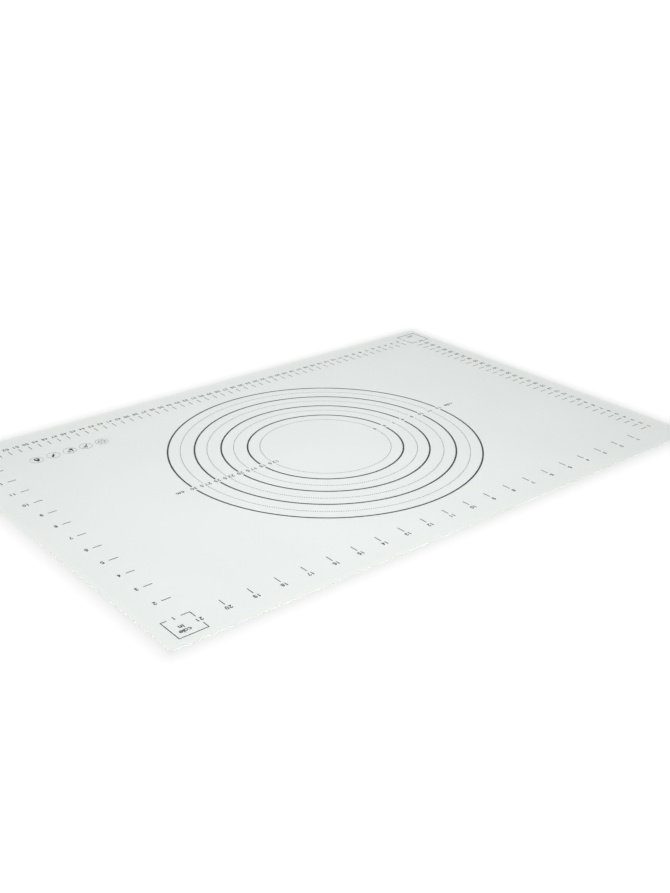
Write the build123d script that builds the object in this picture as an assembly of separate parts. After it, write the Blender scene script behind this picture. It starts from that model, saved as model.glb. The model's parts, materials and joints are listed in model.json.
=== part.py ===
"""A silicone baking mat with printed rings and scales, 600 x 400 mm.

Two silicone coats hold a woven glass cloth between them. The print stands on the top coat as thin
films of silicone ink. The frame has its origin under the middle of the mat, +X along the long side
to the right of someone who reads the print, +Y towards the top of the print, and +Z up.
All lengths are in millimetres and all angles in degrees.
"""
import math
import os

from build123d import *

os.makedirs("parts", exist_ok=True)

# The sheet
mat_length = 600.0
mat_width = 400.0
corner_radius = 4.0
under_coat_floor = 0.30
cloth_thickness = 0.20
top_coat_thickness = 0.30
sealed_rim = 5.0
edge_round = 0.15

# The ink film and its lines: the inch scales are printed a little bolder than the centimetre ones
ink_thickness = 0.10
inch_line = 0.67
cm_line = 0.56
ring_line = 1.55
dash_line = 0.50
symbol_line = 0.17
snow_line = 0.20
motif_line = 0.50
inch_pen = 0.70
cm_pen = 0.56
label_pen = 0.58
upper_word_pen = 0.65
lower_word_pen = 0.88
cm_word_pen = 0.76
inch_word_pen = 0.46

# The rings: a solid one at each whole size and a dashed one half a step inside it, as many as fit
smallest_ring_diameter = 150.0
ring_diameter_step = 50.0
ring_to_tick_clearance = 8.0
dash_length = 1.0
dash_pitch = 2.0
ring_label_clearance = 2.1
cm_label_shift = 0.55
cm_word_offset = 13.3
inch_word_offset = 14.5

# The scales and the two corner boxes, whose sides stand in for one tick of each scale
inch = 25.4
centimetre = 10.0
tick_length = 7.9
inch_row_gap = 2.7
cm_row_gap = 3.8
inch_column_gap = 4.5
cm_column_gap = 3.9
scale_end_clearance = 5.0
inch_box_side = 24.8
inch_box_from_short_edge = 12.4
inch_box_from_long_edge = 9.2
cm_box_side = 25.9
cm_box_from_short_edge = 5.9
cm_box_from_long_edge = 9.3
number_gap_along_side = 3.0
number_gap_across_side = 4.7
inch_words_shift = 3.0
inch_words_above_middle = 6.0
lower_word_shift = -0.25
word_line_pitch = 6.0
cm_word_shift = 1.8
cm_word_below_middle = 6.2

# The lettering
digit_height = 4.2
digit_width = 2.6
letter_height = 3.1
letter_width = 2.7
wide_letter_width = 4.3
number_gap = 0.70
label_gap = 0.90
letter_gap = 0.70
upper_word_gap = 0.38
point_diameter = 0.62

# Shapes of the glyphs, as shares of a digit's half width or half height, and their open arcs
upper_bowl_share = 0.47
flag_reach_share = 0.4
flag_foot_share = 0.72
stem_shift_share = 0.25
crossbar_share = 0.42
five_bowl_share = 0.62
five_left_share = 0.72
five_right_share = 0.8
seven_foot_share = 0.35
two_start_angle = 170
three_sweep = 250
three_lower_start = -160
five_start_angle = -150
five_sweep = 290
hook_sweep = 140
c_opening_angle = 45
c_sweep = 270
e_sweep = 315

# The five care symbols, in a row
symbol_diameter = 12.5
symbol_pitch = 16.9
symbols_from_short_edge = 70.6
symbols_from_long_edge = 59.9
motif_reach_share = 0.32
slant_angle = 55

quarter_turn = 90
half_turn = 180
full_turn = 360

# Levels and edges that follow from the sizes above
cloth_base = under_coat_floor
coat_seam = cloth_base + cloth_thickness
print_level = coat_seam + top_coat_thickness
half_length = mat_length / 2
half_width = mat_width / 2


def save(node, solids):
    """Write one node, which holds one solid or several separate ones."""
    solids = list(solids)
    shape = solids[0] if len(solids) == 1 else Compound(solids)
    shape.label = node
    export_step(shape, f"parts/{node}.step")
    print(f"{node}: {len(solids)} solids")


def film(faces):
    """Ink films as thick as the print, one for each separate patch of the fused faces."""
    patch = faces[0]
    for face in faces[1:]:
        patch = patch + face
    return extrude(patch, amount=ink_thickness).solids()


def on_top(solids, x=0, y=0, turn=0):
    """Copies of the films, standing on the top coat at a place and a turn."""
    return [Pos(x, y, print_level) * Rot(0, 0, turn) * solid for solid in solids]


# Pen strokes: each one is a flat patch as wide as the pen, with round ends


def stroke(start, end, pen):
    """A straight stroke between two points."""
    run_x, run_y = end[0] - start[0], end[1] - start[1]
    length = math.hypot(run_x, run_y)
    turn = math.degrees(math.atan2(run_y, run_x))
    middle = Pos((start[0] + end[0]) / 2, (start[1] + end[1]) / 2)
    return middle * Rot(0, 0, turn) * SlotCenterToCenter(length, pen)


def bend(centre, radius, start, sweep, pen):
    """A stroke along an arc, from the start angle through the sweep."""
    outer, inner = radius + pen / 2, radius - pen / 2
    ends = [start + sweep, start]
    tips = [
        (centre[0] + radius * math.cos(math.radians(a)), centre[1] + radius * math.sin(math.radians(a)))
        for a in ends
    ]
    way = math.copysign(half_turn, sweep)
    edges = [
        CenterArc(centre, outer, start, sweep),
        CenterArc(tips[0], pen / 2, ends[0], way),
        CenterArc(centre, inner, start, sweep),
        CenterArc(tips[1], pen / 2, ends[1] + half_turn, way),
    ]
    return make_face(edges)


def loop(centre, radius, pen):
    """A stroke all the way round a circle."""
    return Pos(*centre) * (Circle(radius + pen / 2) - Circle(radius - pen / 2))


def dot(centre, diameter):
    """A round spot of ink."""
    return Pos(*centre) * Circle(diameter / 2)


# Glyphs: each is drawn about the middle of its own box, w and h from the middle of the pen's line


def digit_strokes(character, pen):
    """The pen strokes of one digit, as a list of flat patches."""
    w = (digit_width - pen) / 2
    h = (digit_height - pen) / 2
    small = h * upper_bowl_share
    large = h - small
    waist = h - 2 * small
    if character == "0":
        outline = SlotOverall(2 * h + pen, 2 * w + pen) - SlotOverall(2 * h - pen, 2 * w - pen)
        return [Rot(0, 0, quarter_turn) * outline]
    if character == "1":
        stem, flag_end = w * stem_shift_share, (-w * flag_reach_share, h * flag_foot_share)
        return [stroke((stem, -h), (stem, h), pen), stroke((stem, h), flag_end, pen)]
    if character == "2":
        centre = (0, h - w)
        reach = math.hypot(w, 2 * h - w)
        away = math.degrees(math.atan2(-(2 * h - w), -w) + math.acos(w / reach))
        tangent = (w * math.cos(math.radians(away)), h - w + w * math.sin(math.radians(away)))
        return [
            bend(centre, w, away, two_start_angle - away, pen),
            stroke(tangent, (-w, -h), pen),
            stroke((-w, -h), (w, -h), pen),
        ]
    if character == "3":
        return [
            bend((0, h - small), small, -quarter_turn, three_sweep, pen),
            bend((0, -h + large), large, three_lower_start, three_sweep, pen),
        ]
    if character == "4":
        foot = -h * crossbar_share
        return [
            stroke((w / 2, -h), (w / 2, h), pen),
            stroke((w / 2, h), (-w, foot), pen),
            stroke((-w, foot), (w, foot), pen),
        ]
    if character == "5":
        bowl = h * five_bowl_share
        end = math.radians(five_start_angle + five_sweep)
        bowl_top = (bowl * math.cos(end), -h + bowl + bowl * math.sin(end))
        corner = (-w * five_left_share, h)
        return [
            stroke(corner, (w * five_right_share, h), pen),
            stroke(corner, bowl_top, pen),
            bend((0, -h + bowl), bowl, five_start_angle, five_sweep, pen),
        ]
    if character == "6":
        return [
            loop((0, -h + w), w, pen),
            stroke((-w, -h + w), (-w, h - w), pen),
            bend((0, h - w), w, half_turn, -hook_sweep, pen),
        ]
    if character == "7":
        return [stroke((-w, h), (w, h), pen), stroke((w, h), (-w * seven_foot_share, -h), pen)]
    if character == "8":
        return [loop((0, waist + small), small, pen), loop((0, waist - large), large, pen)]
    return [Rot(0, 0, half_turn) * part for part in digit_strokes("6", pen)]


def letter_strokes(character, pen):
    """The pen strokes of one small letter, standing on the same line as the digits."""
    base = -(digit_height - pen) / 2
    bowl = (letter_height - pen) / 2
    w = (letter_width - pen) / 2
    middle = base + bowl
    top = base + letter_height - pen
    tall = base + digit_height - pen
    if character == "c":
        return [bend((0, middle), bowl, c_opening_angle, c_sweep, pen)]
    if character == "e":
        return [bend((0, middle), bowl, 0, e_sweep, pen), stroke((-bowl, middle), (bowl, middle), pen)]
    if character == "a":
        return [loop((0, middle), bowl, pen), stroke((bowl, base), (bowl, top), pen)]
    if character == "l":
        return [stroke((0, base), (0, tall), pen)]
    if character == "i":
        return [stroke((0, base), (0, top), pen), dot((0, tall), max(point_diameter, pen))]
    if character == "n":
        return arches([-w, w], base, top, pen)
    wide = (wide_letter_width - pen) / 2
    return arches([-wide, 0, wide], base, top, pen)


def arches(stems, base, top, pen):
    """Upright stems joined by a half-round arch between each pair, as in n and m."""
    radius = (stems[1] - stems[0]) / 2
    parts = [stroke((stems[0], base), (stems[0], top), pen)]
    for left, right in zip(stems, stems[1:]):
        spring = top - radius
        parts.append(bend(((left + right) / 2, spring), radius, 0, half_turn, pen))
        parts.append(stroke((right, base), (right, spring), pen))
    return parts


def glyph_width(character, pen):
    """How wide a glyph stands in a line of text."""
    if character in "li":
        return pen
    if character == ".":
        return point_diameter
    if character == "m":
        return wide_letter_width
    return letter_width if character.isalpha() else digit_width


glyphs = {}


def glyph_solids(character, pen):
    """The ink of one glyph, drawn about its own middle. Each is made once for a pen, then copied."""
    if (character, pen) not in glyphs:
        if character == ".":
            strokes = [dot((0, (point_diameter - digit_height) / 2), point_diameter)]
        elif character.isalpha():
            strokes = letter_strokes(character, pen)
        else:
            strokes = digit_strokes(character, pen)
        glyphs[character, pen] = film(strokes)
    return glyphs[character, pen]


def text_width(words, pen, gap):
    """The width of a line of text, from its first glyph to its last."""
    return sum(glyph_width(character, pen) for character in words) + gap * (len(words) - 1)


def text(words, x, y, pen, gap, anchor="middle"):
    """A line of text whose middle, left or right end is at x, and whose digits are centred on y."""
    width = text_width(words, pen, gap)
    at = {"middle": x - width / 2, "left": x, "right": x - width}[anchor]
    solids = []
    for character in words:
        wide = glyph_width(character, pen)
        solids += on_top(glyph_solids(character, pen), at + wide / 2, y)
        at += wide + gap
    return solids


def line(x0, y0, x1, y1, width):
    """A straight printed line between two points, square at both ends."""
    length = math.hypot(x1 - x0, y1 - y0)
    turn = math.degrees(math.atan2(y1 - y0, x1 - x0))
    bar = film([Rectangle(length, width)])
    return on_top(bar, (x0 + x1) / 2, (y0 + y1) / 2, turn)


# The sheet: two coats with the cloth between them


def rounded_sheet(length, width, radius, thickness, level):
    """A flat sheet with rounded corners, standing on a level."""
    return Pos(0, 0, level) * extrude(RectangleRounded(length, width, radius), amount=thickness)


def make_sheet():
    """The silicone coats and the cloth that they seal between them."""
    cloth_size = (mat_length - 2 * sealed_rim, mat_width - 2 * sealed_rim, corner_radius)
    cloth = rounded_sheet(*cloth_size, cloth_thickness, cloth_base)
    under = rounded_sheet(mat_length, mat_width, corner_radius, coat_seam, 0)
    under = fillet(under.faces().sort_by(Axis.Z)[0].edges(), edge_round) - cloth
    top = rounded_sheet(mat_length, mat_width, corner_radius, top_coat_thickness, coat_seam)
    top = fillet(top.faces().sort_by(Axis.Z)[-1].edges(), edge_round)
    save("underside_coat", under.solids())
    save("glass_cloth_core", cloth.solids())
    save("top_coat", top.solids())


# The corner boxes: middle lines of their sides, worked out from the edges of the mat

inch_box_right = half_length - inch_box_from_short_edge
inch_box_left = inch_box_right - inch_box_side
inch_box_top = half_width - inch_box_from_long_edge
inch_box_bottom = inch_box_top - inch_box_side
cm_box_left = -half_length + cm_box_from_short_edge
cm_box_right = cm_box_left + cm_box_side
cm_box_bottom = -half_width + cm_box_from_long_edge
cm_box_top = cm_box_bottom + cm_box_side

# Rows and columns of numbers, outside the ticks

inch_row = inch_box_bottom + tick_length + inch_row_gap + digit_height / 2
inch_column = inch_box_left + tick_length + inch_column_gap
cm_row = cm_box_top - tick_length - cm_row_gap - digit_height / 2
cm_column = cm_box_right - tick_length - cm_column_gap

# The rings: sizes are outer diameters, and a label sits across each ring on both sides

ring_gap = digit_height / 2 + ring_label_clearance
largest_ring_diameter = 2 * (min(inch_box_bottom, -cm_box_top) - ring_to_tick_clearance)
ring_count = 1 + math.floor((largest_ring_diameter - smallest_ring_diameter) / ring_diameter_step)
solid_diameters = [smallest_ring_diameter + ring_diameter_step * i for i in range(ring_count)]
dashed_diameters = [diameter - ring_diameter_step / 2 for diameter in solid_diameters]


def solid_ring(diameter):
    """Two halves of a printed ring, open where the labels sit."""
    radius = (diameter - ring_line) / 2
    gap_angle = math.degrees(math.asin(ring_gap / radius))
    outer, inner = radius + ring_line / 2, radius - ring_line / 2
    sweep = half_turn - 2 * gap_angle
    arcs = [CenterArc((0, 0), r, gap_angle, sweep) for r in (outer, inner)]
    ends = [Line(arcs[0] @ side, arcs[1] @ side) for side in (0, 1)]
    half = film([make_face(arcs + ends)])
    return on_top(half) + on_top(half, turn=half_turn)


def dashed_ring(diameter):
    """A ring of short dashes at an even pitch, left out where the labels sit."""
    radius = diameter / 2
    count = round(math.pi * diameter / dash_pitch)
    dash = film([Rectangle(dash_line, dash_length)])
    solids = []
    for index in range(count):
        angle = full_turn * (index + 0.5) / count
        x, y = radius * math.cos(math.radians(angle)), radius * math.sin(math.radians(angle))
        if abs(y) > ring_gap + dash_length / 2:
            solids += on_top(dash, x, y, angle)
    return solids


def make_rings():
    """All the rings, and the two rows of labels that say their size."""
    cm_labels, inch_labels = [], []
    for index, diameter in enumerate(solid_diameters):
        save(f"solid_ring_{index + 1}", solid_ring(diameter))
    for index, diameter in enumerate(dashed_diameters):
        save(f"dashed_ring_{index + 1}", dashed_ring(diameter))
    for diameter in solid_diameters + dashed_diameters:
        x = diameter / 2
        cm_labels += text(f"{diameter / centimetre:g}", x - cm_label_shift, 0, label_pen, label_gap)
        inch_labels += text(f"{diameter / inch:.0f}", -x, 0, label_pen, label_gap)
    outermost = solid_diameters[-1] / 2
    cm_word = text("cm", outermost + cm_word_offset, 0, cm_word_pen, letter_gap)
    inch_word = text("cale", -outermost - inch_word_offset, 0, inch_word_pen, letter_gap)
    save("ring_labels_cm", cm_labels + cm_word)
    save("ring_labels_inch", inch_labels + inch_word)


# How many ticks each scale has: one that ends at a box counts back from it, and one that starts
# at a box runs on until it comes near the scale across its end

long_inch_count = 1 + math.floor((inch_box_left - cm_box_right) / inch)
short_inch_count = 1 + math.floor((inch_box_bottom - cm_box_top - scale_end_clearance) / inch)
long_cm_count = 1 + math.floor((inch_box_left - cm_box_right - scale_end_clearance) / centimetre)
short_cm_count = 1 + math.floor((inch_box_bottom - cm_box_top) / centimetre)


def box_side(start, end, fixed, upright, label_at, half_gap, width):
    """One side of a corner box, in two lines with a gap for its number."""
    pieces = [(start - width / 2, label_at - half_gap), (label_at + half_gap, end + width / 2)]
    solids = []
    for low, high in pieces:
        if high > low:
            ends = (fixed, low, fixed, high) if upright else (low, fixed, high, fixed)
            solids += line(*ends, width)
    return solids


def make_inch_scales():
    """The inch scales along the top edge and down the right edge, and their corner box."""
    long_ticks, long_numbers, short_ticks, short_numbers = [], [], [], []
    for number in range(1, long_inch_count + 1):
        x = inch_box_left - (long_inch_count - number) * inch
        long_numbers += text(str(number), x, inch_row, inch_pen, number_gap)
        if number < long_inch_count:
            long_ticks += line(x, inch_box_bottom, x, inch_box_bottom + tick_length, inch_line)
    for number in range(1, short_inch_count + 1):
        y = inch_box_bottom - (number - 1) * inch
        short_numbers += text(str(number), inch_column, y, inch_pen, number_gap, "left")
        if number > 1:
            short_ticks += line(inch_box_left, y, inch_box_left + tick_length, y, inch_line)
    save("long_inch_ticks", long_ticks)
    save("long_inch_numbers", long_numbers)
    save("short_inch_ticks", short_ticks)
    save("short_inch_numbers", short_numbers)

    upright_gap = digit_height / 2 + number_gap_along_side
    flat_gap = digit_width / 2 + number_gap_across_side
    low, high = inch_box_bottom, inch_box_top
    left = box_side(low, high, inch_box_left, True, inch_row, upright_gap, inch_line)
    low, high = inch_box_left + inch_line, inch_box_right
    number_middle = inch_column + digit_width / 2
    lower = box_side(low, high, inch_box_bottom, False, number_middle, flat_gap, inch_line)
    half_line = inch_line / 2
    low, high = inch_box_bottom + half_line, inch_box_top + half_line
    right = line(inch_box_right, low, inch_box_right, high, inch_line)
    low, high = inch_box_left + half_line, inch_box_right - half_line
    upper = line(low, inch_box_top, high, inch_box_top, inch_line)
    save("inch_corner_box", joined(left + lower + right + upper))

    words_x = (inch_box_left + inch_box_right) / 2 + inch_words_shift
    words_y = (inch_box_bottom + inch_box_top) / 2 + inch_words_above_middle
    first = text("cale", words_x, words_y, upper_word_pen, upper_word_gap)
    lower_x, lower_y = words_x + lower_word_shift, words_y - word_line_pitch
    second = text("in", lower_x, lower_y, lower_word_pen, letter_gap)
    save("inch_corner_words", first + second)


def make_cm_scales():
    """The centimetre scales along the bottom edge and up the left edge, and their corner box."""
    long_ticks, long_numbers, short_ticks, short_numbers = [], [], [], []
    for number in range(1, long_cm_count + 1):
        x = cm_box_right + (number - 1) * centimetre
        long_numbers += text(str(number), x, cm_row, cm_pen, number_gap)
        if number > 1:
            long_ticks += line(x, cm_box_top - tick_length, x, cm_box_top, cm_line)
    for number in range(1, short_cm_count + 1):
        y = cm_box_top + (short_cm_count - number) * centimetre
        short_numbers += text(str(number), cm_column, y, cm_pen, number_gap, "right")
        if number < short_cm_count:
            short_ticks += line(cm_box_right - tick_length, y, cm_box_right, y, cm_line)
    save("long_cm_ticks", long_ticks)
    save("long_cm_numbers", long_numbers)
    save("short_cm_ticks", short_ticks)
    save("short_cm_numbers", short_numbers)

    upright_gap = digit_height / 2 + number_gap_along_side
    number_half_width = text_width(str(short_cm_count), cm_pen, number_gap) / 2
    flat_gap = number_half_width + number_gap_along_side
    low, high = cm_box_bottom, cm_box_top
    right = box_side(low, high, cm_box_right, True, cm_row, upright_gap, cm_line)
    low, high = cm_box_left, cm_box_right - cm_line
    number_middle = cm_column - number_half_width
    upper = box_side(low, high, cm_box_top, False, number_middle, flat_gap, cm_line)
    half_line = cm_line / 2
    low, high = cm_box_bottom - half_line, cm_box_top - half_line
    left = line(cm_box_left, low, cm_box_left, high, cm_line)
    low, high = cm_box_left + half_line, cm_box_right - half_line
    lower = line(low, cm_box_bottom, high, cm_box_bottom, cm_line)
    save("cm_corner_box", joined(right + upper + left + lower))

    word_x = (cm_box_left + cm_box_right) / 2 - cm_word_shift
    word_y = (cm_box_bottom + cm_box_top) / 2 - cm_word_below_middle
    save("cm_corner_word", text("cm", word_x, word_y, cm_pen, letter_gap))


def joined(solids):
    """The solids that touch each other, made one."""
    whole = solids[0]
    for solid in solids[1:]:
        whole = whole + solid
    return whole.solids()


# The care symbols: a thin round outline with a simple motif in each, that reaches as far as given


def snow_motif(reach):
    """Six arms with a pair of short branches on each, open in the middle."""
    start_share, end_share, fork_share, tip_share, spread_share = 0.28, 1.15, 0.6, 0.95, 0.28
    arm_count = 6
    parts = []
    for arm in range(arm_count):
        turn = Rot(0, 0, arm * full_turn / arm_count)
        parts.append(turn * stroke((reach * start_share, 0), (reach * end_share, 0), snow_line))
        for side in (-1, 1):
            tip = (reach * tip_share, side * reach * spread_share)
            parts.append(turn * stroke((reach * fork_share, 0), tip, snow_line))
    return film(parts)


def fork_motif(reach):
    """A slanted fork: a handle, a shoulder and three tines."""
    shoulder_share, spread_share, handle_pen_share, tine_pen_share = 0.15, 0.36, 1.8, 1.0
    shoulder, spread = reach * shoulder_share, reach * spread_share
    parts = [stroke((-reach, 0), (shoulder, 0), motif_line * handle_pen_share)]
    parts.append(stroke((shoulder, -spread), (shoulder, spread), motif_line))
    for y in (-spread, 0, spread):
        parts.append(stroke((shoulder, y), (reach, y), motif_line * tine_pen_share))
    return film([Rot(0, 0, slant_angle) * part for part in parts])


def thermometer_motif(reach):
    """A filled bulb under a stem, with three marks beside it."""
    stem_share, bulb_share, bulb_size_share, top_share = 0.55, 0.53, 0.9, 0.8
    mark_start_share, mark_end_share = 0.05, 0.6
    mark_level_shares = (0.0, 0.35, 0.7)
    bulb = (-reach * stem_share, -reach * bulb_share)
    stem_top = (-reach * stem_share, reach * top_share)
    solids = film([dot(bulb, reach * bulb_size_share), stroke(bulb, stem_top, 2 * motif_line)])
    for share in mark_level_shares:
        level = reach * share
        ends = (reach * mark_start_share, level), (reach * mark_end_share, level)
        solids += film([stroke(*ends, motif_line)])
    return solids


def spatula_motif(reach):
    """A slanted spatula: a thick stroke for the blade and a thin one for the handle."""
    heel_share, tip_share, width_share, handle_share = 0.25, 0.7, 0.52, 1.0
    blade = stroke((-reach * heel_share, 0), (reach * tip_share, 0), reach * width_share)
    handle = stroke((-reach * handle_share, 0), (0, 0), motif_line)
    return film([Rot(0, 0, slant_angle) * part for part in (blade, handle)])


def flame_face(base, tip, belly, centre):
    """A round base drawn up to a point, through a belly on each side."""
    left = ThreePointArc((-base, centre), (-belly[0], belly[1]), (0, tip))
    right = ThreePointArc((0, tip), (belly[0], belly[1]), (base, centre))
    return make_face([left, right, CenterArc((0, centre), base, 0, -half_turn)])


def flame_motif(reach):
    """A filled flame with a small open flame inside it."""
    base_share, tip_share, centre_share, shift_share = 0.69, 1.0, 0.24, 0.12
    belly_x_share, belly_y_share = 0.47, 0.34
    inner_share = 0.36
    centre = -reach * centre_share
    outer = flame_face(
        reach * base_share, reach * tip_share, (reach * belly_x_share, reach * belly_y_share), centre
    )
    inner = flame_face(
        reach * base_share * inner_share,
        centre + (reach * tip_share - centre) * inner_share,
        (reach * belly_x_share * inner_share, centre + (reach * belly_y_share - centre) * inner_share),
        centre,
    )
    drop = reach * (base_share - base_share * inner_share) / 2
    return film([Pos(-reach * shift_share, 0) * (outer - Pos(0, -drop) * inner)])


def make_symbols():
    """A row of five symbols near the bottom right of the print."""
    motifs = (snow_motif, fork_motif, thermometer_motif, spatula_motif, flame_motif)
    outline = film([loop((0, 0), (symbol_diameter - symbol_line) / 2, symbol_line)])
    y = -half_width + symbols_from_long_edge
    for index, motif in enumerate(motifs):
        x = half_length - symbols_from_short_edge - (len(motifs) - 1 - index) * symbol_pitch
        solids = outline + motif(symbol_diameter * motif_reach_share)
        save(f"symbol_{index + 1}", on_top(solids, x, y))


make_sheet()
make_rings()
make_inch_scales()
make_cm_scales()
make_symbols()
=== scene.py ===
# %% [markdown]
# # A printed silicone baking mat
# The real mat is a flat sheet, 600 x 400 mm and under a millimetre thick. Two coats of pale silicone
# hold a woven glass cloth between them, and the rings, the scales and the small symbols are printed
# on the top coat with silicone ink. This lesson loads the measured model as a fixed frame, replaces
# its plain coats and cloth with finished surfaces, and gives the print its ink.

# %% Load the frame
import json
import math

import bmesh
import bpy
import numpy as np
from mathutils import Matrix, Vector

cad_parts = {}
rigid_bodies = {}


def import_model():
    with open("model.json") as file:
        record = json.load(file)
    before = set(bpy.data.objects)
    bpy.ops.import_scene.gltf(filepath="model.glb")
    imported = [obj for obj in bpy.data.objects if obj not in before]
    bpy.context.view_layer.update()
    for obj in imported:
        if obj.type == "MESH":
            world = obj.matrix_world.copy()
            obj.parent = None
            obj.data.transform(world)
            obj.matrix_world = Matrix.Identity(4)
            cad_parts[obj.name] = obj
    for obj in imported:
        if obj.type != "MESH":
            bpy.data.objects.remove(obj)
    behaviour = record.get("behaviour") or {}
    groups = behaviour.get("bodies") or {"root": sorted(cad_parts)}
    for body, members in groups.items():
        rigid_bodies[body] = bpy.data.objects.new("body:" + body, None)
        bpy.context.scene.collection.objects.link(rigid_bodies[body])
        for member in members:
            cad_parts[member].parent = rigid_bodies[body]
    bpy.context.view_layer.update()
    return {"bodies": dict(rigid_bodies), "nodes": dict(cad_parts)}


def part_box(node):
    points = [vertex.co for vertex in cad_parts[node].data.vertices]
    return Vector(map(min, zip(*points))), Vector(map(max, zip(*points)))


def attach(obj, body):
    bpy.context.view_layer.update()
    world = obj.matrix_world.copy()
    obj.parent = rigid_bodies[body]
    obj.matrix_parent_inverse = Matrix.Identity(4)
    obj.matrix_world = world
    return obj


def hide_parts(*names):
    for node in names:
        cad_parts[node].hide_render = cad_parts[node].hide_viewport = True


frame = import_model()
body = list(frame["bodies"])[0]
mm = 0.001
print("frame body", body, "with", len(frame["nodes"]), "nodes")

# %% [markdown]
# ## Sizes
# The coats are soft pieces, so new surfaces stand for them. Their sizes come from the frame. The two
# that it can't tell, the roundness of the corners and of the edge, are written here in millimetres.

# %% Sizes of the sheet
top_low, top_high = (np.array(corner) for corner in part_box("top_coat"))
under_low, under_high = (np.array(corner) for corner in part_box("underside_coat"))
cloth_low, cloth_high = (np.array(corner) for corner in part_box("glass_cloth_core"))
mat_length, mat_width = (top_high - top_low)[:2]
cloth_length, cloth_width = (cloth_high - cloth_low)[:2]
corner_radius = 4 * mm
edge_round = 0.15 * mm
print(f"mat {mat_length / mm:.1f} x {mat_width / mm:.1f} mm, top at {top_high[2] / mm:.2f} mm")
print(f"cloth {cloth_length / mm:.1f} x {cloth_width / mm:.1f} mm")

# %% [markdown]
# ## Colours
# Colours are written as sRGB hex values, as a paint card or an image editor gives them. Blender
# shades in linear light, so one function turns them to linear.


# %% Colour helper
def linear(hex_colour):
    """sRGB hex to linear: c / 12.92 for c up to 0.04045, and ((c + 0.055) / 1.055) to the 2.4 above."""
    value = np.array([int(hex_colour[i : i + 2], 16) for i in (1, 3, 5)]) / 255
    out = np.where(value <= 0.04045, value / 12.92, ((value + 0.055) / 1.055) ** 2.4)
    return (*out.tolist(), 1.0)


white = linear("#FFFFFF")
print("white is", white)

# %% [markdown]
# ## A small helper for node materials
# A material is a graph of nodes. Most lines that build one say the same things: add a node, set its
# fields, link what feeds it, and pass on what it gives. One function does all four, so a material
# reads from top to bottom like a recipe. Some sockets share a name, so they go by number: on a Map
# Range, 1 and 2 are the range that it reads and 3 and 4 the range that it gives. On a colour Mix, 0
# is the factor and 6 and 7 are the colours at factor 0 and 1.


# %% Node helper
def add(tree, kind, settings=None, out=0, **inputs):
    """Add a node, set its fields and fill its sockets: a number or colour is set, an output is linked.
    A socket goes by its name, with _ for a space, or by its number, as in _2. Gives one output."""
    node = tree.nodes.new("ShaderNode" + kind)
    for field, value in (settings or {}).items():
        setattr(node, field, value)
    for name, value in inputs.items():
        key = int(name[1:]) if name[0] == "_" else name.replace("_", " ")
        if isinstance(value, bpy.types.NodeSocket):
            tree.links.new(value, node.inputs[key])
        else:
            node.inputs[key].default_value = value
    return node.outputs[out] if node.outputs else None


def new_tree(name):
    """An empty material, its node tree, and the object coordinates that its patterns are laid out on."""
    material = bpy.data.materials.new(name)
    material.use_nodes = True
    material.node_tree.nodes.clear()
    return material, material.node_tree, add(material.node_tree, "TexCoord", out="Object")


colours = {"data_type": "RGBA"}
smooth = {"interpolation_type": "SMOOTHSTEP"}
print("a colour mix is set by", colours, "and a soft step by", smooth)

# %% [markdown]
# ## The weave
# Glass cloth for such mats is a plain weave with threads about 1.2 mm apart, and it shows faintly
# through the thin silicone. A plain weave is a product of two waves: where the warp is on top the
# weft dips, and the next crossing swaps them.

# %% Weave pattern
thread_pitch = 1.2 * mm


def plain_weave(tree, place, pitch):
    """sin(pi x / pitch) * sin(pi y / pitch): hills where the warp is on top, hollows elsewhere."""
    waves = []
    for axis in ("X", "Y"):
        along = add(tree, "SeparateXYZ", out=axis, _0=place)
        turns = add(tree, "Math", {"operation": "MULTIPLY"}, _0=along, _1=math.pi / pitch)
        waves.append(add(tree, "Math", {"operation": "SINE"}, _0=turns))
    return add(tree, "Math", {"operation": "MULTIPLY"}, _0=waves[0], _1=waves[1])


print("threads along the cloth:", round(cloth_length / thread_pitch))

# %% [markdown]
# ## Where the cloth ends
# The cloth stops short of the mat's edge, so the silicone outside it looks a little different. How
# far a point lies past each pair of sides tells a material where that is. The floor's paper uses the
# same measure later, round the whole mat.


# %% Distance past the sides
def past_sides(tree, place, length, width):
    """How far a point lies past a centred rectangle's sides: |x| - length / 2 and |y| - width / 2."""
    past = []
    for axis, size in (("X", length), ("Y", width)):
        along = add(tree, "SeparateXYZ", out=axis, _0=place)
        away = add(tree, "Math", {"operation": "ABSOLUTE"}, _0=along)
        past.append(add(tree, "Math", {"operation": "SUBTRACT"}, _0=away, _1=size / 2))
    return past


print(f"sealed rim {(mat_length - cloth_length) / 2 / mm:.1f} mm wide")

# %% [markdown]
# ## Silicone of the two coats
# Platinum-cured silicone rubber, pigmented a pale grey green and calendered on the cloth. It is
# smooth but not glossy: the eye reads a satin sheet with a soft, wide highlight. Fine grain from the
# release paper breaks the highlight up, handling leaves faint broad patches, and the weave shows
# through by a hair. The sealed rim has no cloth in it, so it is a little clearer and greener. The
# underside is the same rubber, more matt and with more of the weave in it.
#
# Light that enters the silicone leaves again through the sheet's thin side, so the side is the palest
# part. A paler colour on the upright faces is painted light that stands for that, which keeps the
# material simple.

# %% Sizes of the silicone's patterns
patch_size = 90 * mm
patch_limits = (0.35, 0.65)
gloss_patch_size = 6 * mm
gloss_limits = (0.3, 0.7)
gloss_swing = 0.05
paper_grain = 0.5 * mm
paper_depth = 0.02 * mm
paper_strength = 0.25
rim_blend = 1 * mm
# Painted light on the thin side: faces whose normal points up less than these limits take a paler
# colour.
painted_side_light_limits = (0.2, 0.9)
silicone_ior = 1.41
print(f"patches {patch_size / mm:.0f} mm, gloss patches {gloss_patch_size / mm:.0f} mm")


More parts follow.
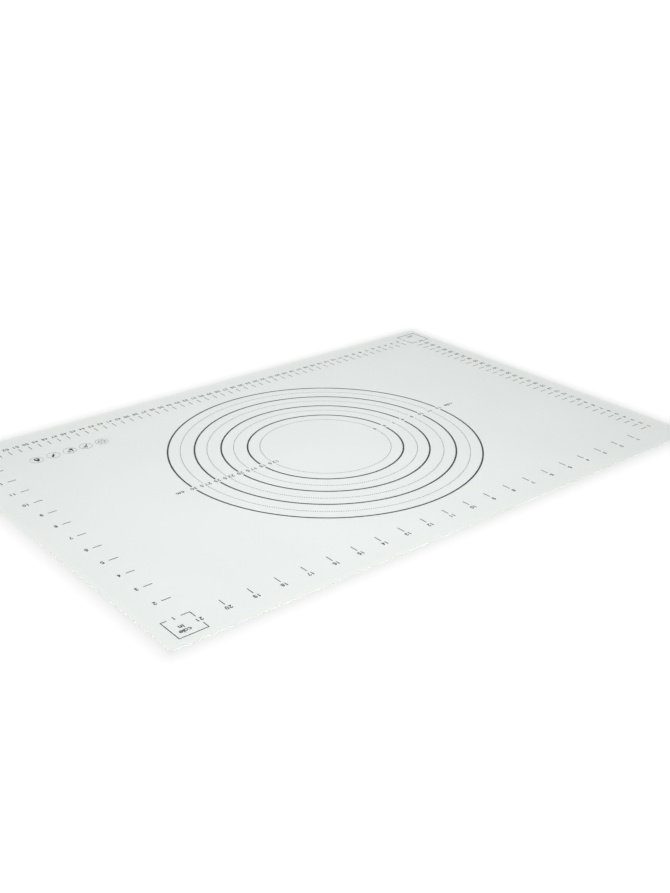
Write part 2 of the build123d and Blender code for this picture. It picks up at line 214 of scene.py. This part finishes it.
# %% Silicone material
def skin_colour(tree, place, weave, skin_colours, rim_colour, painted_side_light_colour):
    """Skin in two shades by broad patches and a third between threads, then the rim, then painted light
    on the side.
    """
    colour, patch_colour, thread_colour = (linear(hex_colour) for hex_colour in skin_colours)
    cloud = add(tree, "TexNoise", Vector=place, Scale=1 / patch_size, Detail=1.0)
    patches = add(tree, "MapRange", smooth, _0=cloud, _1=patch_limits[0], _2=patch_limits[1])
    skin = add(tree, "Mix", colours, 2, _0=patches, _6=colour, _7=patch_colour)
    threads = add(tree, "MapRange", smooth, _0=weave, _1=-1.0, _2=1.0)
    skin = add(tree, "Mix", colours, 2, _0=threads, _6=thread_colour, _7=skin)
    past = past_sides(tree, place, cloth_length, cloth_width)
    past_cloth = add(tree, "Math", {"operation": "MAXIMUM"}, _0=past[0], _1=past[1])
    rim = add(tree, "MapRange", smooth, _0=past_cloth, _1=-rim_blend, _2=rim_blend)
    skin = add(tree, "Mix", colours, 2, _0=rim, _6=skin, _7=linear(rim_colour))
    # Painted light: the upright faces of the thin side take a paler colour, standing for light that
    # leaves through the side.
    upright = add(tree, "SeparateXYZ", out="Z", _0=add(tree, "TexCoord", out="Normal"))
    facing_up = add(tree, "Math", {"operation": "ABSOLUTE"}, _0=upright)
    level = add(tree, "MapRange", smooth, _0=facing_up, _1=painted_side_light_limits[0], _2=painted_side_light_limits[1])
    return add(tree, "Mix", colours, 2, _0=level, _6=linear(painted_side_light_colour), _7=skin)


def silicone(name, skin_colours, rim_colour, painted_side_light_colour, weave_depth, roughness):
    """Pigmented silicone: the skin's colours with painted light on the side, gloss in small patches,
    release-paper grain and weave.
    """
    material, tree, place = new_tree(name)
    weave = plain_weave(tree, place, thread_pitch)
    skin = skin_colour(tree, place, weave, skin_colours, rim_colour, painted_side_light_colour)
    marks = add(tree, "TexNoise", Vector=place, Scale=1 / gloss_patch_size, Detail=2.0)
    gloss = add(
        tree, "MapRange", _0=marks, _1=gloss_limits[0], _2=gloss_limits[1],
        _3=roughness - gloss_swing, _4=roughness + gloss_swing,
    )
    paper = add(tree, "TexNoise", Vector=place, Scale=1 / paper_grain, Detail=2.0)
    grained = add(tree, "Bump", Height=paper, Strength=paper_strength, Distance=paper_depth)
    relief = add(tree, "Bump", Height=weave, Strength=1.0, Distance=weave_depth, Normal=grained)
    surface = add(
        tree, "BsdfPrincipled", Base_Color=skin, Roughness=gloss, Normal=relief, IOR=silicone_ior
    )
    add(tree, "OutputMaterial", Surface=surface)
    return material


# %% Silicone of each coat
# The last colour of each coat is painted light on the thin upright side.
top_silicone = silicone(
    "platinum_silicone_satin", ("#E8EDEB", "#E5EAE8", "#E4EAE7"), "#E7ECE8", "#F5F9F6",
    weave_depth=0.004 * mm, roughness=0.45,
)
under_silicone = silicone(
    "platinum_silicone_matt", ("#E3E9E5", "#E0E6E2", "#DAE1DC"), "#E4EAE5", "#F5F9F6",
    weave_depth=0.03 * mm, roughness=0.55,
)
print("made", top_silicone.name, "and", under_silicone.name)

# %% [markdown]
# ## Glass cloth
# E-glass yarn in a plain weave, greenish white with a soft sheen along the threads. It lies sealed
# between the coats, so nobody sees it unless the mat is cut, but it is finished all the same.

# %% Glass cloth material
yarn_relief = 0.05 * mm
yarn_roughness = 0.5
yarn_sheen = 0.3
glass_ior = 1.55


def woven_glass(name, crown_colour, hollow_colour):
    """Plain-woven glass yarn: pale on the crowns of the threads, greener in the hollows."""
    material, tree, place = new_tree(name)
    weave = plain_weave(tree, place, thread_pitch)
    crowns = add(tree, "MapRange", smooth, _0=weave, _1=-1.0, _2=1.0)
    yarn = add(tree, "Mix", colours, 2, _0=crowns, _6=linear(hollow_colour), _7=linear(crown_colour))
    relief = add(tree, "Bump", Height=weave, Strength=1.0, Distance=yarn_relief)
    surface = add(
        tree, "BsdfPrincipled", Base_Color=yarn, Normal=relief, Roughness=yarn_roughness,
        IOR=glass_ior, Sheen_Weight=yarn_sheen,
    )
    add(tree, "OutputMaterial", Surface=surface)
    return material


glass_cloth = woven_glass("e_glass_plain_weave", "#E9ECE4", "#D3DACD")
print("made", glass_cloth.name)

# %% [markdown]
# ## Silicone ink
# The print is a dark grey silicone ink pushed through a screen. It cures matt and a little raised,
# and the screen leaves a faint mottle, so the ink is not the same grey all over.

# %% Ink material
mottle_size = 0.6 * mm
mottle_limits = (0.4, 0.75)
screen_mesh = 0.3 * mm
mesh_depth = 0.02 * mm
mesh_strength = 0.4
ink_roughness = 0.6
ink_ior = 1.42


def screen_ink(name, colour, thin_colour):
    """Matt screen ink: a mottle of thinner ink, and fine relief as coarse as the screen's mesh."""
    material, tree, place = new_tree(name)
    cloud = add(tree, "TexNoise", Vector=place, Scale=1 / mottle_size, Detail=3.0)
    mottle = add(tree, "MapRange", smooth, _0=cloud, _1=mottle_limits[0], _2=mottle_limits[1])
    pigment = add(tree, "Mix", colours, 2, _0=mottle, _6=linear(colour), _7=linear(thin_colour))
    mesh = add(tree, "TexNoise", Vector=place, Scale=1 / screen_mesh, Detail=2.0)
    relief = add(tree, "Bump", Height=mesh, Strength=mesh_strength, Distance=mesh_depth)
    surface = add(
        tree, "BsdfPrincipled", Base_Color=pigment, Normal=relief, Roughness=ink_roughness, IOR=ink_ior
    )
    add(tree, "OutputMaterial", Surface=surface)
    return material


ink = screen_ink("silicone_screen_ink", "#202124", "#2C2E31")
print("made", ink.name)

# %% [markdown]
# ## The coats and the cloth
# Each layer is a thin plate with rounded corners. Its surface is worked out as a whole: a profile of
# inset and height is carried round a rounded rectangle, from the middle line of the top, over the
# edge, to the middle line of the bottom. An inset outline of a rounded rectangle is again a rounded
# rectangle with a smaller radius, so one formula serves every ring of points.

# %% Outline of a plate
corner_steps = 10
side_steps = 12
corner_signs = np.array([[1, 1], [-1, 1], [-1, -1], [1, -1]])


def outline(length, width, radius, inset):
    """Rounded rectangle, shrunk by the inset: corner centres plus a quarter circle each, then the
    straight sides between them. Points run anticlockwise and keep their share of the way round."""
    half = np.array([length / 2 - inset, width / 2 - inset])
    bend = max(radius - inset, 0.0)
    share = np.linspace(0, 1, side_steps + 1)[1:-1, None]
    arcs = []
    for index, sign in enumerate(corner_signs):
        angle = np.radians(90 * index + np.linspace(0, 90, corner_steps + 1))
        arcs.append(sign * (half - bend) + bend * np.column_stack([np.cos(angle), np.sin(angle)]))
    points = []
    for arc, next_arc in zip(arcs, arcs[1:] + arcs[:1]):
        points += [arc, arc[-1] + (next_arc[0] - arc[-1]) * share]
    return np.concatenate(points)


print(len(outline(mat_length, mat_width, corner_radius, 0.0)), "points round the mat")

# %% [markdown]
# The flat faces and the side meet in a small round or, where two layers lie on each other, in a
# sharp edge. Smooth shading bends the normals of the faces next to an edge, which shows as a darker
# line along so thin a side. So a ring of points beside the edge keeps the flats flat, and the sharp
# edges are marked as sharp.

# %% Plate surface
round_steps = 5
merge_distance = 0.0001 * mm
sharp_angle = math.radians(40)


def edge_profile(low, high, middle, radius, top_round, bottom_round):
    """Inset and height of each ring of points: along the top, a quarter circle (r - r sin a,
    high - r + r cos a) down to the side, the same turned over at the bottom, and back under it."""
    border = radius * 2
    beside_edge = edge_round * 2
    quarter = np.radians(np.linspace(0, 90, round_steps + 1))
    sine, cosine = np.sin(quarter), np.cos(quarter)
    upper = np.column_stack([top_round * (1 - sine), high - top_round * (1 - cosine)])
    lower = np.column_stack([bottom_round * (1 - cosine), low + bottom_round * (1 - sine)])
    top_face = [(middle, high), (border, high), (beside_edge, high)]
    bottom_face = [(beside_edge, low), (border, low), (middle, low)]
    return np.concatenate([top_face, upper, lower, bottom_face])


def plate(name, low, high, length, width, radius, top_round, bottom_round):
    """Carry the profile round the outline, and join each ring of points to the next by quads."""
    profile = edge_profile(low, high, width / 2, radius, top_round, bottom_round)
    rings = [outline(length, width, radius, inset) for inset in profile[:, 0]]
    count = len(rings[0])
    heights = np.repeat(profile[:, 1], count)
    points = np.column_stack([np.concatenate(rings), heights])
    row = np.arange(len(profile) - 1)[:, None] * count
    this = np.arange(count)[None, :]
    after = (this + 1) % count
    faces = np.stack([row + this, row + count + this, row + count + after, row + after], axis=-1)
    mesh = bpy.data.meshes.new(name)
    mesh.from_pydata(points.tolist(), [], faces.reshape(-1, 4).tolist())
    piece = bpy.data.objects.new(name, mesh)
    bpy.context.collection.objects.link(piece)
    return close_up(piece)


def close_up(piece):
    """Merge the points that meet on the middle lines, drop faces with no area, and shade the faces
    smooth across every edge but the sharp ones, where the flat side meets a flat face."""
    work = bmesh.new()
    work.from_mesh(piece.data)
    bmesh.ops.remove_doubles(work, verts=work.verts, dist=merge_distance)
    bmesh.ops.dissolve_degenerate(work, edges=work.edges, dist=merge_distance)
    bmesh.ops.recalc_face_normals(work, faces=work.faces)
    for face in work.faces:
        face.smooth = True
    for edge in work.edges:
        edge.smooth = edge.calc_face_angle(0.0) < sharp_angle
    work.to_mesh(piece.data)
    work.free()
    return piece


# %% Make the layers
top_piece = plate(
    "top_coat_silicone", top_low[2], top_high[2], mat_length, mat_width, corner_radius,
    top_round=edge_round, bottom_round=0.0,
)
under_piece = plate(
    "underside_coat_silicone", under_low[2], under_high[2], mat_length, mat_width, corner_radius,
    top_round=0.0, bottom_round=edge_round,
)
cloth_piece = plate(
    "glass_cloth_sheet", cloth_low[2], cloth_high[2], cloth_length, cloth_width, corner_radius,
    top_round=0.0, bottom_round=0.0,
)
layers = (
    (top_piece, "top_coat", "silicone", top_silicone),
    (under_piece, "underside_coat", "silicone", under_silicone),
    (cloth_piece, "glass_cloth_core", "glass_cloth", glass_cloth),
)
for piece, node, slot, material in layers:
    piece.data.materials.append(material)
    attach(piece, body)
    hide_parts(node)
    print(piece.name, len(piece.data.polygons), "faces")

# %% [markdown]
# All three layers are sheets that lie flat.

print("declared", len(layers), "sheets")

# %% [markdown]
# ## The print
# The printed films have the right shape already, so they stay and take the ink.

# %% Ink on the print
replaced = {node for _, node, _, _ in layers}
films = [node for name, node in frame["nodes"].items() if name not in replaced]
for film in films:
    film.data.materials.clear()
    film.data.materials.append(ink)
print(len(films), "pieces of the print take the ink")

# %% [markdown]
# ## Floor
# The mat lies on a plain white floor that runs on past the view. The floor is a hair below the
# underside, because two faces in one plane show through each other.

# %% Floor plate
half_floor = 20.0
floor_drop = 0.02 * mm
floor_corners = np.array([[-1, -1], [1, -1], [1, 1], [-1, 1]]) * half_floor
floor_points = np.column_stack([floor_corners, np.full(4, -floor_drop)])
floor_mesh = bpy.data.meshes.new("studio_floor")
floor_mesh.from_pydata(floor_points.tolist(), [], [(0, 1, 2, 3)])
floor = bpy.data.objects.new("studio_floor", floor_mesh)
bpy.context.collection.objects.link(floor)
print("floor", 2 * half_floor, "m wide")

# %% [markdown]
# The floor is matt paper that takes real shadows. For the rays that look at it, it is mixed with a
# white glow, so that it stays white where the lamp's light runs out. A sheet under a millimetre thick
# casts a shadow narrower than a pixel, so a painted shadow makes the glow weaker close round the mat.
# The painted shadow depends on the distance from the mat's outline, never on the camera.

# %% Paper material
# Reach and depth of the painted shadow on the floor round the mat.
painted_shadow_reach = 17 * mm
painted_shadow_depth = 0.297
glow_share = 0.8
glow_strength = 1.2
paper_colour = "#E8E8E8"
paper_roughness = 0.9


def looking_rays(tree):
    """One for the rays that look at a thing: straight, in a mirror or through glass. Zero for others."""
    seen = add(tree, "LightPath", out="Is Camera Ray")
    for ray in ("Is Glossy Ray", "Is Transmission Ray"):
        other = add(tree, "LightPath", out=ray)
        seen = add(tree, "Math", {"operation": "MAXIMUM"}, _0=seen, _1=other)
    return seen


def distance_outside(tree, place, length, width):
    """Distance from a rectangle: sqrt(max(|x| - length / 2, 0)^2 + max(|y| - width / 2, 0)^2)."""
    squares = []
    for past in past_sides(tree, place, length, width):
        outside = add(tree, "Math", {"operation": "MAXIMUM"}, _0=past, _1=0.0)
        squares.append(add(tree, "Math", {"operation": "MULTIPLY"}, _0=outside, _1=outside))
    total = add(tree, "Math", {"operation": "ADD"}, _0=squares[0], _1=squares[1])
    return add(tree, "Math", {"operation": "SQRT"}, _0=total)


def white_paper(name):
    """Matt paper, mixed for the rays that look at it with a glow of
    strength * (1 - depth * exp(-distance / reach)), whose dip round the mat is a painted shadow."""
    material, tree, place = new_tree(name)
    away = distance_outside(tree, place, mat_length, mat_width)
    reaches = add(tree, "Math", {"operation": "DIVIDE"}, _0=away, _1=-painted_shadow_reach)
    near = add(tree, "Math", {"operation": "EXPONENT"}, _0=reaches)
    # Painted shadow: the glow is weaker close round the mat's outline.
    shade = add(tree, "Math", {"operation": "MULTIPLY"}, _0=near, _1=painted_shadow_depth * glow_strength)
    level = add(tree, "Math", {"operation": "SUBTRACT"}, _0=glow_strength, _1=shade)
    glow = add(tree, "Emission", Color=white, Strength=level)
    paper = add(tree, "BsdfPrincipled", Base_Color=linear(paper_colour), Roughness=paper_roughness)
    share = add(tree, "Math", {"operation": "MULTIPLY"}, _0=looking_rays(tree), _1=glow_share)
    surface = add(tree, "MixShader", _0=share, _1=paper, _2=glow)
    add(tree, "OutputMaterial", Surface=surface)
    return material


floor.data.materials.append(white_paper("matt_white_paper"))
print("floor wears", floor.data.materials[0].name)

# %% [markdown]
# ## Light
# The sky stands for a light tent, whose white sides are brighter at the horizon than overhead. The
# light from low down reaches the sheet's thin sides, which the lamps above hardly light. The
# brightness falls from the horizon as (1 - height) to the power of 4, and an upright face takes
# almost twice as much of that band as a level one. The rays that look at the tent find plain white.

# %% Light tent
horizon_strength = 3.7
zenith_strength = 0.265
band_power = 4
world = bpy.data.worlds.new("light_tent")
bpy.context.scene.world = world
world.use_nodes = True
sky = world.node_tree
sky.nodes.clear()
height = add(sky, "SeparateXYZ", out="Z", _0=add(sky, "TexCoord", out="Generated"))
below_zenith = add(sky, "Math", {"operation": "SUBTRACT"}, _0=1.0, _1=height)
band = add(sky, "Math", {"operation": "POWER"}, _0=below_zenith, _1=band_power)
level = add(sky, "MapRange", _0=band, _3=zenith_strength, _4=horizon_strength)
fill = add(sky, "Background", Color=white, Strength=level)
plain = add(sky, "Background", Color=white, Strength=1.0)
add(sky, "OutputWorld", Surface=add(sky, "MixShader", _0=looking_rays(sky), _1=fill, _2=plain))
print("tent", horizon_strength, "at the horizon and", zenith_strength, "overhead")

# %% [markdown]
# A soft lamp hangs over the near corner and a weak one over the far corner, so the left and right
# corners of the mat are a shade darker than its middle. Each lamp has its place in metres and its
# power in watts.

# %% Lamps
lamp_size = 0.4
lamps = {
    "near_lamp": ((0.181, 0.192, 0.8), 3.53),
    "far_lamp": ((-0.26, -0.28, 0.5), 0.36),
}
for name, (place, power) in lamps.items():
    lamp_data = bpy.data.lights.new(name, "AREA")
    lamp_data.shape = "SQUARE"
    lamp_data.size = lamp_size
    lamp_data.energy = power
    lamp = bpy.data.objects.new(name, lamp_data)
    lamp.location = place
    bpy.context.collection.objects.link(lamp)
    print(name, power, "W at", place)

# %% [markdown]
# ## Camera
# The camera's place and lens were worked out from the printed scales, whose spacing is known.

# %% Camera
camera_place = (0.64116, 0.77728, top_high[2] + 0.45096)
camera_aim = (-0.00486, 0.00820, top_high[2])
camera_roll = 0.555
camera_lens = 46.685
film_width = 36.0
nearest_view = 0.05


def aim(place, target, roll_degrees):
    """Rotation that looks from the place to the target, level, then rolled about the line of sight."""
    direction = Vector(target) - Vector(place)
    upright = direction.to_track_quat("-Z", "Y").to_matrix()
    return (upright @ Matrix.Rotation(math.radians(roll_degrees), 3, "Z")).to_euler()


camera_data = bpy.data.cameras.new("camera")
camera_data.lens = camera_lens
camera_data.sensor_width = film_width
camera_data.clip_start = nearest_view
camera = bpy.data.objects.new("camera", camera_data)
camera.location = camera_place
camera.rotation_euler = aim(camera_place, camera_aim, camera_roll)
bpy.context.collection.objects.link(camera)
bpy.context.scene.camera = camera
bpy.context.scene.view_settings.view_transform = "Standard"
camera_distance = (Vector(camera_place) - Vector(camera_aim)).length
print(f"camera with a {camera_lens} mm lens, {camera_distance:.3f} m away")
